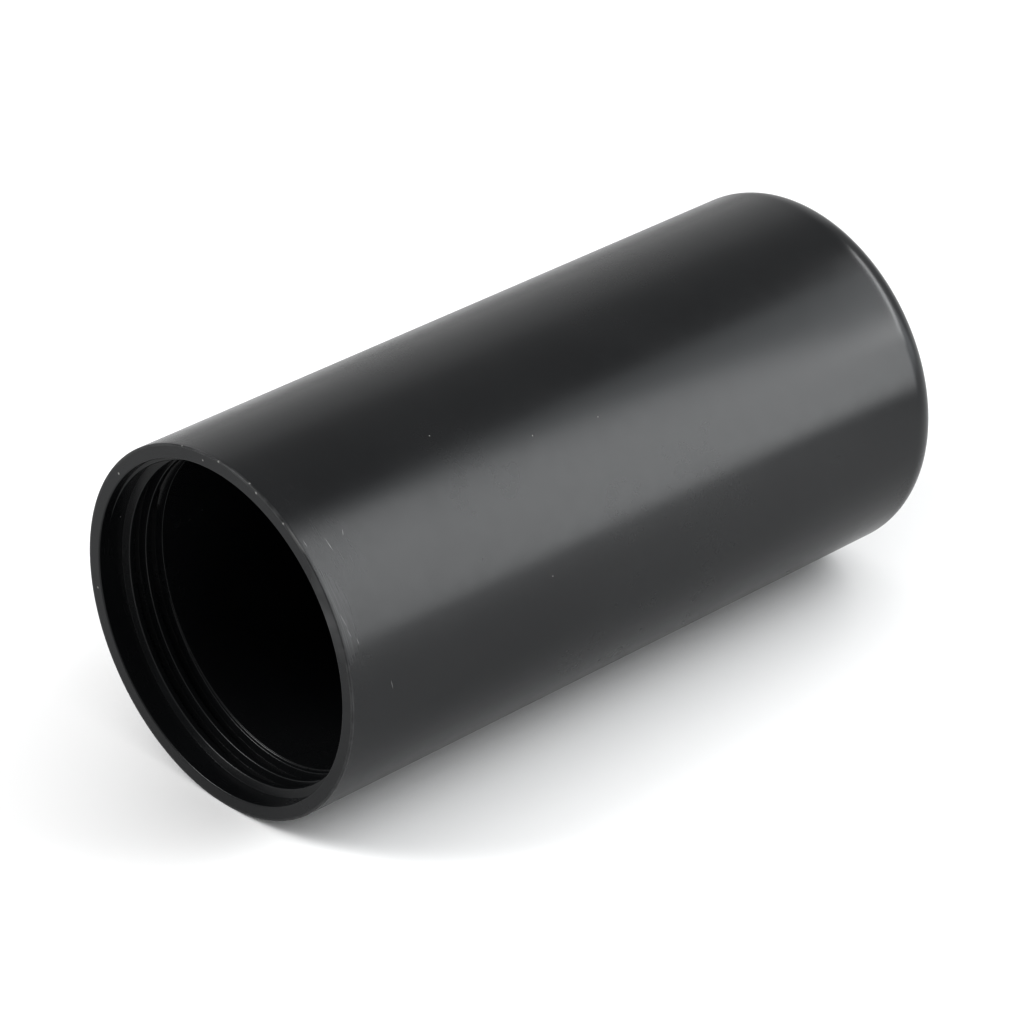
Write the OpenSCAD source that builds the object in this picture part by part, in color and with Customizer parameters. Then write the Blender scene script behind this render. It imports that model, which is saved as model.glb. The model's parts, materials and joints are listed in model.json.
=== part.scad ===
// Screw-on cover of a tubular storage case. One moulding: a straight barrel with a closed,
// rounded end, and a coarse internal screw thread in its open end.
// Millimetres. The cover lies on its side: its axis is +Y, its mouth faces -Y, and the
// origin is the centre of the rim face.

/* [Shell] */
// Outside diameter at the rim
rim_d = 56; // [40:0.5:90]
// Length from the rim face to the closed end
cover_l = 116; // [50:1:250]
// Wall between the root of the thread and the outside of the rim
rim_wall = 2.2; // [1.4:0.1:4]
// Thickness of the closed end
end_wall = 3.2; // [1.6:0.1:6]
// Mould draft of the outside, in degrees
outer_draft = 0.3; // [0:0.05:0.6]
// Outside radius of the rounded corner at the closed end
end_corner_r = 5; // [1:0.25:12]
// Inside radius of the rounded corner at the bottom of the hollow
floor_corner_r = 2.5; // [0.5:0.25:8]
// Rounding of the outside edge of the rim
rim_edge_r = 0.15; // [0.1:0.05:0.6]
// Chamfer of the inside edge of the rim
mouth_chamfer = 0.2; // [0.1:0.05:0.6]

/* [Thread] */
// Pitch of the thread
thread_pitch = 3; // [2:0.25:5]
// Height of the ridge above the root of the thread
ridge_h = 1.3; // [0.6:0.1:1.6]
// Width of the flat along the crest of the ridge
crest_w = 0.9; // [0.3:0.1:1.2]
// Slope of each flank away from square to the axis, in degrees
flank_angle = 10; // [0:1:20]
// Distance from the rim face to the middle of the ridge where it begins
ridge_start = 1.95; // [1.5:0.05:6]
// Turn around the axis at which the ridge begins, in degrees
ridge_start_angle = 186; // [0:1:359]
// Turn over which the ridge rises to its full height, in degrees
ridge_lead_in = 90; // [20:5:120]
// Distance from the rim face to the shoulder that ends the thread
shoulder_depth = 10.3; // [8:0.1:20]
// Step from the crest of the ridge in to the wall of the hollow
shoulder_step = 0.2; // [0.1:0.05:1]
// Straight facets in one turn of the ridge
ridge_facets = 60; // [24:4:96]

/* [Hidden] */
$fn = 128;

rim_r = rim_d / 2;
root_r = rim_r - rim_wall;
crest_r = root_r - ridge_h;
hollow_r = crest_r - shoulder_step;
floor_depth = cover_l - end_wall;

// The ridge is rooted this far inside the wall, so that the two are one solid
root_sink = 0.5;
// The crest starts and ends this far under the surface that it rises from
tip_sink = 0.05;
// Half the width of the ridge where it meets the root of the thread
ridge_half_w = crest_w / 2 + ridge_h * tan(flank_angle);
// The ridge runs on until it is buried in the shoulder
ridge_turns = (shoulder_depth + ridge_half_w + tip_sink - ridge_start) / thread_pitch;
ridge_steps = ceil(ridge_turns * ridge_facets);

// Half section of a plug with a drafted side from (r, low) and a rounded far end at high
module rounded_half_section(r, low, high, draft, corner_r) {
    centre_y = high - corner_r;
    centre_x = r - (centre_y - low) * tan(draft) - corner_r / cos(draft);
    polygon([
        [0, low],
        [r, low],
        [centre_x + corner_r * cos(draft), centre_y + corner_r * sin(draft)],
        [centre_x, high],
        [0, high],
    ]);
    intersection() {
        translate([centre_x, centre_y]) circle(r = corner_r);
        translate([0, low]) square([rim_d, cover_l]);
    }
}

// The outside: the rim edge is rounded, then the drafted side begins
module outer_half_section() {
    rounded_half_section(rim_r, rim_edge_r, cover_l, outer_draft, end_corner_r);
    square([rim_r - rim_edge_r, rim_edge_r * 2]);
    translate([rim_r - rim_edge_r, rim_edge_r]) circle(r = rim_edge_r);
}

// The inside: a chamfered mouth, the straight wall at the root of the thread, then the hollow
module inner_half_section() {
    polygon([
        [0, -1],
        [root_r + mouth_chamfer + 1, -1],
        [root_r, mouth_chamfer],
        [root_r, shoulder_depth],
        [0, shoulder_depth],
    ]);
    rounded_half_section(hollow_r, shoulder_depth - 1, floor_depth, 0, floor_corner_r);
}

// Height of the ridge above the root of the thread, after a given turn from its start
function ridge_height(turned) =
    turned < ridge_lead_in
        ? (ridge_h + tip_sink) * (1 - cos(180 * turned / ridge_lead_in)) / 2 - tip_sink
        : ridge_h;

// The four corners of the ridge's section after a given turn from its start
function ridge_corners(turned) =
    let(
        angle = ridge_start_angle + turned,
        middle = ridge_start + thread_pitch * turned / 360,
        top_r = root_r - ridge_height(turned),
        foot_r = root_r + root_sink,
        half_w = crest_w / 2 + (foot_r - top_r) * tan(flank_angle)
    )
    [
        for (corner = [[foot_r, -half_w], [top_r, -crest_w / 2], [top_r, crest_w / 2], [foot_r, half_w]])
            [corner[0] * cos(angle), corner[0] * sin(angle), middle + corner[1]]
    ];

// One right-handed ridge, swept along the helix in straight steps
module thread_ridge() {
    turns = [for (i = [0:ridge_steps]) 360 * ridge_turns * i / ridge_steps];
    corners = [for (turned = turns) each ridge_corners(turned)];
    sides = [
        for (i = [0:ridge_steps - 1], k = [0:3])
            let(a = 4 * i + k, b = 4 * i + (k + 1) % 4)
            each [[a, b + 4, b], [a, a + 4, b + 4]]
    ];
    last = 4 * ridge_steps;
    ends = [[0, 2, 3], [0, 1, 2], [last, last + 2, last + 1], [last, last + 3, last + 2]];
    polyhedron(points = corners, faces = concat(sides, ends));
}

// The round shell without its ridge
module shell() {
    rotate_extrude()
    difference() {
        outer_half_section();
        inner_half_section();
    }
}

// Turns a piece drawn along +Z, mouth down, to lie along +Y
module laid_down() {
    rotate([-90, 0, 0]) children();
}

// The whole moulding, in black plastic
module case_cover() {
    color([0.08, 0.08, 0.085]) {
        laid_down() shell();
        laid_down() thread_ridge();
    }
}

case_cover();
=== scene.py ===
import json
import math
from math import cos, pi, radians, sin, tan

import bmesh
import bpy
from mathutils import Matrix, Vector


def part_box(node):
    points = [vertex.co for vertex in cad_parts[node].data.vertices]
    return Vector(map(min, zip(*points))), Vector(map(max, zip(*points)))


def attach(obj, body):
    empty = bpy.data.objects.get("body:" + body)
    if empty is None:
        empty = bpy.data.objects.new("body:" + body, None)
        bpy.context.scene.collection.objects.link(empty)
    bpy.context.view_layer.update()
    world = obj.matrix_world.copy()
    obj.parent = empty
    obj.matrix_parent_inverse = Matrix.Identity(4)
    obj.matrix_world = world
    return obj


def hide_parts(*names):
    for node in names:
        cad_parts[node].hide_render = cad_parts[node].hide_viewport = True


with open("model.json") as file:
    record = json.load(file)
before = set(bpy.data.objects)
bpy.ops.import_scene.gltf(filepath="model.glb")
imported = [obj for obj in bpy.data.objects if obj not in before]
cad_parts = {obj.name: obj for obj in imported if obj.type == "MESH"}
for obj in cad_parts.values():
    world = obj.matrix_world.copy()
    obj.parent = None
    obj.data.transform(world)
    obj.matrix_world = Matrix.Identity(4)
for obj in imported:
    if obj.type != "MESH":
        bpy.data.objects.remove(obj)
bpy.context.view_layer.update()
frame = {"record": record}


# ---- Cover moulding --------------------------------------------------------------------
# The screw-on cover of a storage tube: one injection moulding in satin black plastic, open
# at the mouth (y = 0) and closed at the far end. The outside is a turned shape with softly
# broken edges. Inside the mouth a single right-handed ridge winds down to a shoulder.
MM = 0.001
low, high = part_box("case_cover")
mounts = {mount["name"]: mount for mount in frame["record"]["mounts"]}
rim_r = (high.x - low.x) / 2
cover_l = high.y - low.y
hollow_r = mounts["case_hollow"]["dims"]["r_mm"] * MM
rim_wall = 2.2 * MM
root_r = rim_r - rim_wall
outer_draft = radians(0.3)
end_wall = 3.2 * MM
end_corner_r = 5.0 * MM
floor_corner_r = 2.5 * MM
rim_edge_r = 0.15 * MM
mouth_edge_r = 0.2 * MM
thread_pitch = 3.0 * MM
ridge_h = 1.3 * MM
crest_w = 0.9 * MM
flank_angle = radians(10)
ridge_start = 1.95 * MM
ridge_start_angle = radians(186)
ridge_lead_in = radians(90)
shoulder_depth = 10.3 * MM
shoulder_edge_r = 0.12 * MM
crest_edge_r = 0.21 * MM
foot_edge_r = 0.04 * MM
crest_edge_steps = 5
foot_edge_steps = 3
low_ridge_h = 0.4 * MM
beside_foot = 0.05 * MM
columns = 360
nearly = 1e-6


def arc(centre, radius, start, end, steps):
    """Points (radius, depth) along an arc of the half section, angles in degrees."""
    return [
        (centre[0] + radius * cos(radians(start + (end - start) * i / steps)),
         centre[1] + radius * sin(radians(start + (end - start) * i / steps)))
        for i in range(steps + 1)
    ]


def straight(start, end, shares):
    """Points on the straight line between two points of the half section."""
    return [
        (start[0] + (end[0] - start[0]) * share, start[1] + (end[1] - start[1]) * share)
        for share in shares
    ]


def outside_section():
    """From the centre of the closed end, round its corner and along the barrel to the mouth."""
    corner_y = cover_l - end_corner_r
    side_x = rim_r - (corner_y - rim_edge_r) * tan(outer_draft)
    corner_x = side_x - end_corner_r / cos(outer_draft)
    end_corner = arc((corner_x, corner_y), end_corner_r, 90, math.degrees(outer_draft), 20)
    rim_corner = arc((rim_r - rim_edge_r, rim_edge_r), rim_edge_r, 0, -90, 6)
    mouth_corner = arc((root_r + mouth_edge_r, mouth_edge_r), mouth_edge_r, 270, 180, 4)
    end_face = straight((0, cover_l), end_corner[0], (0, 0.3, 0.6, 0.9, 0.985))
    barrel = straight(end_corner[-1], rim_corner[0], (0.005, 0.2, 0.4, 0.6, 0.8, 0.9, 0.97, 0.995))
    rim_face = straight(rim_corner[-1], mouth_corner[0], (0.06, 0.5, 0.94))
    return end_face + end_corner + barrel + rim_corner + rim_face + mouth_corner


def hollow_section():
    """From the edge of the shoulder down the hollow to the centre of its floor."""
    floor_y = cover_l - end_wall
    shoulder_edge = arc((hollow_r + shoulder_edge_r, shoulder_depth + shoulder_edge_r),
                        shoulder_edge_r, 270, 180, 4)
    floor_corner = arc((hollow_r - floor_corner_r, floor_y - floor_corner_r),
                       floor_corner_r, 0, 90, 12)
    wall = straight(shoulder_edge[-1], floor_corner[0], (0.005, 0.33, 0.66, 0.995))
    floor = straight(floor_corner[-1], (0, floor_y), (0.03, 0.4, 0.7, 1))
    return shoulder_edge + wall + floor_corner + floor


def ridge_height(turned):
    """Height of the ridge above the root after a given turn from its start."""
    if turned <= 0:
        return 0
    return ridge_h * (1 - cos(pi * min(turned / ridge_lead_in, 1))) / 2


def ridge_rows(height):
    """Rows across one pitch as (offset from the ridge's middle, height), with round edges.

    A ridge that is still low keeps its rows apart, and only its edges are rounded less.
    """
    run = max(height, low_ridge_h) * tan(flank_angle)
    half = crest_w / 2
    bend = pi / 2 - flank_angle
    crest_start = half - crest_edge_r * tan(bend / 2)
    foot_end = half + run + foot_edge_r * tan(bend / 2)
    crest_drop = min(crest_edge_r, height * 0.6)
    foot_rise = min(foot_edge_r, height * 0.2)
    side = []
    for i in range(crest_edge_steps + 1):
        bent = bend * i / crest_edge_steps
        side.append((crest_start + crest_edge_r * sin(bent), height - crest_drop * (1 - cos(bent))))
    for i in range(foot_edge_steps, -1, -1):
        bent = bend * i / foot_edge_steps
        side.append((foot_end - foot_edge_r * sin(bent), foot_rise * (1 - cos(bent))))
    pitch_edge = thread_pitch / 2
    side.append((min(side[-1][0] + beside_foot, pitch_edge * 0.98), 0))
    side.append((pitch_edge, 0))
    return [(-offset, h) for offset, h in reversed(side)] + side[:-1]


def lying(radius, depth, angle):
    """The point at that radius, depth behind the rim and turn about the cover's axis."""
    return Vector((radius * cos(angle), depth, -radius * sin(angle)))


shape = bmesh.new()
turns_round = [ridge_start_angle + 2 * pi * column / columns for column in range(columns)]


def ring(radius, depth):
    """New points all round the cover at one radius and depth."""
    return [shape.verts.new(lying(radius, depth, angle)) for angle in turns_round]


def skin(first, second):
    """Faces between two rings, or between a ring and a centre point."""
    for column in range(columns):
        after = (column + 1) % columns
        if len(first) == 1:
            shape.faces.new((first[0], second[after], second[column]))
        elif len(second) == 1:
            shape.faces.new((first[column], first[after], second[0]))
        else:
            shape.faces.new((first[column], first[after], second[after], second[column]))


def turned_skin(section):
    """Turns a half section into a surface, and returns its rings."""
    rings = []
    for radius, depth in section:
        if radius < nearly:
            rings.append([shape.verts.new((0, depth, 0))])
        else:
            rings.append(ring(radius, depth))
    for first, second in zip(rings, rings[1:]):
        skin(first, second)
    return rings


mouth_ring = turned_skin(outside_section())[-1]
hollow_ring = turned_skin(hollow_section())[0]

# The threaded wall is a sheet of rows that climb with the thread. It starts before the mouth
# and ends past the shoulder, and rows that would pass either one stop there.
rows_in_pitch = len(ridge_rows(ridge_h))
turns_in_sheet = math.ceil((shoulder_depth - ridge_start) / thread_pitch) + 2
sheet = []
for turn in range(-2, turns_in_sheet):
    for row in range(rows_in_pitch):
        line = []
        for column in range(columns + 1):
            turns = turn + column / columns
            offset, height = ridge_rows(ridge_height(2 * pi * turns))[row]
            line.append((ridge_start + thread_pitch * turns + offset, height))
        sheet.append(line)


def height_at_shoulder(column):
    """Height of the threaded wall where it meets the shoulder, at one column."""
    for above, below in zip(sheet, sheet[1:]):
        if above[column][0] < shoulder_depth <= below[column][0]:
            share = (shoulder_depth - above[column][0]) / (below[column][0] - above[column][0])
            return above[column][1] + (below[column][1] - above[column][1]) * share
    return 0


shoulder_ring = [
    shape.verts.new(lying(root_r - height_at_shoulder(column), shoulder_depth, angle))
    for column, angle in enumerate(turns_round)
]
wall = []
for line in sheet:
    row = []
    for column, angle in enumerate(turns_round):
        depth, height = line[column]
        if depth <= mouth_edge_r + nearly:
            row.append(mouth_ring[column])
        elif depth >= shoulder_depth - nearly:
            row.append(shoulder_ring[column])
        else:
            row.append(shape.verts.new(lying(root_r - height, depth, angle)))
    wall.append(row)

# One turn on, the sheet meets itself a pitch deeper.
for j in range(len(wall) - 1):
    for column in range(columns):
        if column + 1 < columns:
            far, far_below = wall[j][column + 1], wall[j + 1][column + 1]
        elif j + rows_in_pitch + 1 < len(wall):
            far, far_below = wall[j + rows_in_pitch][0], wall[j + rows_in_pitch + 1][0]
        else:
            continue
        corners = list(dict.fromkeys((wall[j][column], far, far_below, wall[j + 1][column])))
        if len(corners) > 2:
            shape.faces.new(corners)
skin(shoulder_ring, hollow_ring)

bmesh.ops.recalc_face_normals(shape, faces=shape.faces)
cover_mesh = bpy.data.meshes.new("cover moulding")
shape.to_mesh(cover_mesh)
shape.free()
for face in cover_mesh.polygons:
    face.use_smooth = True
cover = bpy.data.objects.new("cover_moulding", cover_mesh)
bpy.context.scene.collection.objects.link(cover)

# Satin black plastic. The pigment is never quite even, so the near-black is a little cloudy.
# The skin has a fine moulded grain, faint polishing lines of the mould that run round the
# barrel, and the gloss comes and goes with handling.
plastic = bpy.data.materials.new("satin black plastic")
plastic.use_nodes = True
nodes = plastic.node_tree.nodes
links = plastic.node_tree.links
shader = nodes["Principled BSDF"]
shader.inputs["IOR"].default_value = 1.47
on_cover = nodes.new("ShaderNodeTexCoord").outputs["Object"]


def put(value, socket):
    """Links an output to a socket, or sets a plain value on it."""
    if isinstance(value, bpy.types.NodeSocket):
        links.new(value, socket)
    else:
        socket.default_value = value


def maths(operation, first, second=0.0):
    """Adds a maths step and returns its output."""
    node = nodes.new("ShaderNodeMath")
    node.operation = operation
    put(first, node.inputs[0])
    put(second, node.inputs[1])
    return node.outputs[0]


def remap(value, start, end, to_start=0.0, to_end=1.0):
    """Turns start..end into to_start..to_end with a soft step, and holds it outside."""
    node = nodes.new("ShaderNodeMapRange")
    node.interpolation_type = "SMOOTHSTEP"
    put(value, node.inputs["Value"])
    node.inputs["From Min"].default_value = start
    node.inputs["From Max"].default_value = end
    node.inputs["To Min"].default_value = to_start
    node.inputs["To Max"].default_value = to_end
    return node.outputs["Result"]


def blend(share, first, second):
    """Mixes two colours, from the first at 0 to the second at 1."""
    node = nodes.new("ShaderNodeMix")
    node.data_type = "RGBA"
    colours = [socket for socket in node.inputs if socket.type == "RGBA"]
    put(share, node.inputs[0])
    put(first, colours[0])
    put(second, colours[1])
    return [socket for socket in node.outputs if socket.type == "RGBA"][0]


def noise(size, detail=2.0, round_stretch=1.0):
    """Noise with features of that size in metres, drawn out round the barrel by the stretch."""
    place = nodes.new("ShaderNodeMapping")
    along, around = 1 / size, 1 / (size * round_stretch)
    place.inputs["Scale"].default_value = (around, along, around)
    links.new(on_cover, place.inputs["Vector"])
    texture = nodes.new("ShaderNodeTexNoise")
    texture.inputs["Scale"].default_value = 1
    texture.inputs["Detail"].default_value = detail
    links.new(place.outputs["Vector"], texture.inputs["Vector"])
    return texture.outputs[0]


def near(turn, radius, depth, reach, slant=0.0):
    """1 in an egg-shaped place and 0 outside. The reach is round, along and through the wall."""
    angle = radians(turn)
    outward = Vector((cos(angle), 0, sin(angle)))
    tangent = Vector((-sin(angle), 0, cos(angle)))
    run = tangent * cos(radians(slant)) + Vector((0, 1, 0)) * sin(radians(slant))
    axes = Matrix((run, outward.cross(run), outward)).transposed()
    place = nodes.new("ShaderNodeMapping")
    place.vector_type = "TEXTURE"
    place.inputs["Location"].default_value = outward * radius + Vector((0, depth, 0))
    place.inputs["Rotation"].default_value = axes.to_euler()
    place.inputs["Scale"].default_value = reach
    links.new(on_cover, place.inputs["Vector"])
    distance = nodes.new("ShaderNodeVectorMath")
    distance.operation = "LENGTH"
    links.new(place.outputs["Vector"], distance.inputs[0])
    return remap(distance.outputs["Value"], 1.0, 0.4)


def highest(masks):
    """The greatest of several masks at each point."""
    total = masks[0]
    for mask in masks[1:]:
        total = maths("MAXIMUM", total, mask)
    return total


def length_of(first, second):
    """The long side of a right-angled triangle."""
    return maths("SQRT", maths("ADD", maths("MULTIPLY", first, first), maths("MULTIPLY", second, second)))


black_dark = (0.0086, 0.0094, 0.0106, 1)
black_light = (0.0118, 0.0127, 0.0138, 1)
worn_grey = (0.095, 0.096, 0.098, 1)
scratch_grey = (0.11, 0.11, 0.11, 1)
dust_white = (0.25, 0.25, 0.24, 1)

cloud = noise(22 * MM, detail=3)
patches = noise(2.4 * MM, detail=3)
brushed = noise(0.16 * MM, detail=2, round_stretch=22)

# Rubbing has dulled the outer edge of the rim, here and there.
place_parts = nodes.new("ShaderNodeSeparateXYZ")
links.new(on_cover, place_parts.inputs[0])
out_x, depth_y, out_z = place_parts.outputs
off_radius = maths("SUBTRACT", length_of(out_x, out_z), rim_r)
off_edge = length_of(off_radius, depth_y)
edge_wear = maths("MULTIPLY", remap(off_edge, 0.5 * MM, 0.15 * MM), remap(patches, 0.42, 0.62, 0.25, 0.65))
long_nick = near(53, rim_r, 0.1 * MM, (3.6 * MM, 0.16 * MM, 0.5 * MM))

# Short strokes round the barrel, where the cover has been gripped just behind the rim.
strokes = remap(brushed, 0.55, 0.72)
grip = maths("MULTIPLY", near(29, rim_r, 0.3 * MM, (8.5 * MM, 3.4 * MM, 4 * MM)),
             remap(brushed, 0.34, 0.74, 0.30, 1))
thumb = maths("MULTIPLY", near(46, rim_r, 5 * MM, (8 * MM, 6 * MM, 4 * MM)), strokes)
behind_rim = maths("MULTIPLY", remap(depth_y, 9 * MM, 0.5 * MM), remap(patches, 0.52, 0.68))
rubbed = highest([
    maths("MULTIPLY", grip, 0.9),
    maths("MULTIPLY", thumb, 0.20),
    maths("MULTIPLY", maths("MULTIPLY", behind_rim, strokes), 0.14),
    edge_wear,
])

# Scratches as (turn, depth in mm, half length in mm, slant), and dust and tiny burrs on the
# rim and the barrel as (turn, radius in mm, depth in mm, size in mm).
scratches = highest([
    near(turn, rim_r, depth * MM, (half_length * MM, 0.09 * MM, 0.4 * MM), slant)
    for turn, depth, half_length, slant in (
        (51, 1.0, 0.7, 0), (48, 4.3, 1.3, -4), (49.5, 7.3, 0.6, 25), (27, 1.3, 1.4, -12),
        (23, 1.6, 0.9, -15), (20, 2.6, 0.7, -10), (2.8, 7.3, 0.9, -10), (200, 31, 1.6, 30),
        (128, 14, 1.2, -20), (255, 74, 1.5, 12), (-40, 52, 1.1, -35), (150, 93, 1.3, 8),
    )
])
dust = highest([
    near(turn, radius * MM, depth * MM, (size * MM, size * MM, size * MM))
    for turn, radius, depth, size in (
        (104, 28, 0, 0.22), (95, 26.8, 0, 0.18), (88, 27.9, 0, 0.24), (75, 28, 0.2, 0.20),
        (71.5, 27.7, 0, 0.26), (59, 27.8, 0, 0.24), (189, 26.7, 0, 0.20), (141, 26.7, 0, 0.24),
        (68, 28, 56, 0.16), (49, 27.8, 55, 0.17), (52, 27.8, 43.5, 0.15), (65, 27.9, 29, 0.15),
        (30, 27.8, 70, 0.13), (12, 27.8, 38, 0.12), (170, 27.9, 40, 0.15), (235, 27.7, 63, 0.15),
        (-25, 27.8, 84, 0.14), (120, 27.6, 88, 0.15), (300, 28, 0, 0.18), (165, 25.8, 3.4, 0.16),
    )
])

colour = blend(remap(cloud, 0.3, 0.7), black_dark, black_light)
colour = blend(maths("MULTIPLY", rubbed, 0.6), colour, worn_grey)
colour = blend(long_nick, colour, scratch_grey)
colour = blend(scratches, colour, scratch_grey)
colour = blend(dust, colour, dust_white)
links.new(colour, shader.inputs["Base Color"])

roughness = maths("ADD", remap(cloud, 0.25, 0.75, 0.235, 0.275), remap(patches, 0.35, 0.65, -0.008, 0.008))
roughness = maths("ADD", roughness, maths("MULTIPLY", rubbed, 0.16))
roughness = maths("ADD", roughness, maths("MULTIPLY", dust, 0.4))
links.new(roughness, shader.inputs["Roughness"])

flow = maths("MULTIPLY", noise(26 * MM, detail=1), 0.030 * MM)
grain = maths("MULTIPLY", noise(0.32 * MM, detail=3), 0.0016 * MM)
mould_lines = maths("MULTIPLY", noise(0.30 * MM, detail=2, round_stretch=90), 0.0016 * MM)
height = maths("ADD", maths("ADD", flow, grain), mould_lines)
relief = nodes.new("ShaderNodeBump")
relief.inputs["Distance"].default_value = 1
links.new(height, relief.inputs["Height"])
links.new(relief.outputs["Normal"], shader.inputs["Normal"])
cover.data.materials.append(plastic)

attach(cover, "root")
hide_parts("case_cover")


# ---- Table -----------------------------------------------------------------------------
# A wide white table top, painted dull, which the cover lies on. It isn't part of the cover.
# Its surface is at the lowest line of the barrel.
table_half = 2.5
table_mesh = bpy.data.meshes.new("table")
table_mesh.from_pydata(
    [(x * table_half, y * table_half, low.z) for x, y in ((-1, -1), (1, -1), (1, 1), (-1, 1))],
    [], [(0, 1, 2, 3)])
table = bpy.data.objects.new("table", table_mesh)
bpy.context.scene.collection.objects.link(table)
table_paint = bpy.data.materials.new("white table")
table_paint.use_nodes = True
table_shader = table_paint.node_tree.nodes["Principled BSDF"]
table_shader.inputs["Base Color"].default_value = (0.88, 0.88, 0.88, 1)
table_shader.inputs["Roughness"].default_value = 0.9
table_shader.inputs["Specular IOR Level"].default_value = 0.1
table.data.materials.append(table_paint)


# ---- Studio light ----------------------------------------------------------------------
# A white panel stands on the table behind the closed end and draws the long highlight, and a
# cooler wall of light further back fills the rest of the barrel. A strip picks out the rounded
# corner, and panels to the left and in front light the rim, the thread and the table.
def soft_panel(name, place, target, width, height, power, roll=0.0, colour=(1, 1, 1)):
    """A glowing panel at a place, turned to face the target. Sizes in metres, power in watts."""
    lamp = bpy.data.lights.new(name, "AREA")
    lamp.shape = "RECTANGLE"
    lamp.size = width
    lamp.size_y = height
    lamp.energy = power
    lamp.color = colour
    panel = bpy.data.objects.new(name, lamp)
    bpy.context.scene.collection.objects.link(panel)
    panel.location = place
    panel.rotation_euler = (Vector(target) - Vector(place)).to_track_quat("-Z", "Y").to_euler()
    panel.rotation_euler.rotate_axis("Z", radians(roll))
    panel.visible_camera = False


middle = Vector((0, cover_l / 2, 0))
standing_w = 0.60
standing_h = 0.45
near_foot = Vector((0.113, 0.208, low.z + 0.020))
along_foot = Vector((0.951, 0.310, 0))
standing_place = near_foot + along_foot * standing_w / 2 + Vector((0, 0, standing_h / 2))
standing_facing = Vector((along_foot.y, -along_foot.x, 0))
soft_panel("standing panel", standing_place, standing_place + standing_facing,
           width=standing_w, height=standing_h, power=3.4)
soft_panel("back panel", (0.83, 0.9, 0.62), (0.83, 0, 0.62),
           width=1.2, height=1.3, power=10.5, colour=(0.94, 0.98, 1.0))
soft_panel("edge strip", (0.056, 0.203, 0.080), (0.056, 0, 0.080),
           width=0.11, height=0.03, power=0.10, roll=27)
soft_panel("left panel", (-0.95, 0.80, 0.42), middle, width=1.2, height=0.8, power=1.3)
soft_panel("front panel", (-0.55, -0.70, 0.80), middle, width=0.6, height=0.6, power=10)

studio = bpy.data.worlds.new("studio")
studio.use_nodes = True
walls = studio.node_tree.nodes["Background"]
walls.inputs["Color"].default_value = (1, 1, 1, 1)
walls.inputs["Strength"].default_value = 0.79
bpy.context.scene.world = studio
bpy.context.scene.view_settings.view_transform = "Standard"
bpy.context.scene.view_settings.gamma = 0.71


# ---- Camera ----------------------------------------------------------------------------
# A long lens looks down on the cover from in front of its mouth and to its right. It stands
# well back, so that the barrel hardly narrows towards its closed end.
camera_azimuth = radians(47.23)
camera_elevation = radians(30.30)
camera_forward = Vector((
    -sin(camera_azimuth) * cos(camera_elevation),
    cos(camera_azimuth) * cos(camera_elevation),
    -sin(camera_elevation),
))
camera_right = Vector((cos(camera_azimuth), sin(camera_azimuth), 0))
camera_up = camera_right.cross(camera_forward)
camera_data = bpy.data.cameras.new("camera")
camera_data.lens = 225.7
camera_data.sensor_width = 36
camera_data.clip_end = 20
camera = bpy.data.objects.new("camera", camera_data)
bpy.context.scene.collection.objects.link(camera)
camera_beside = 1.433 * rim_r
camera_above = 0.6214 * rim_r
camera_away = 31.512 * rim_r
camera.location = camera_right * camera_beside + camera_up * camera_above - camera_forward * camera_away
camera.rotation_euler = camera_forward.to_track_quat("-Z", "Y").to_euler()
bpy.context.scene.camera = camera
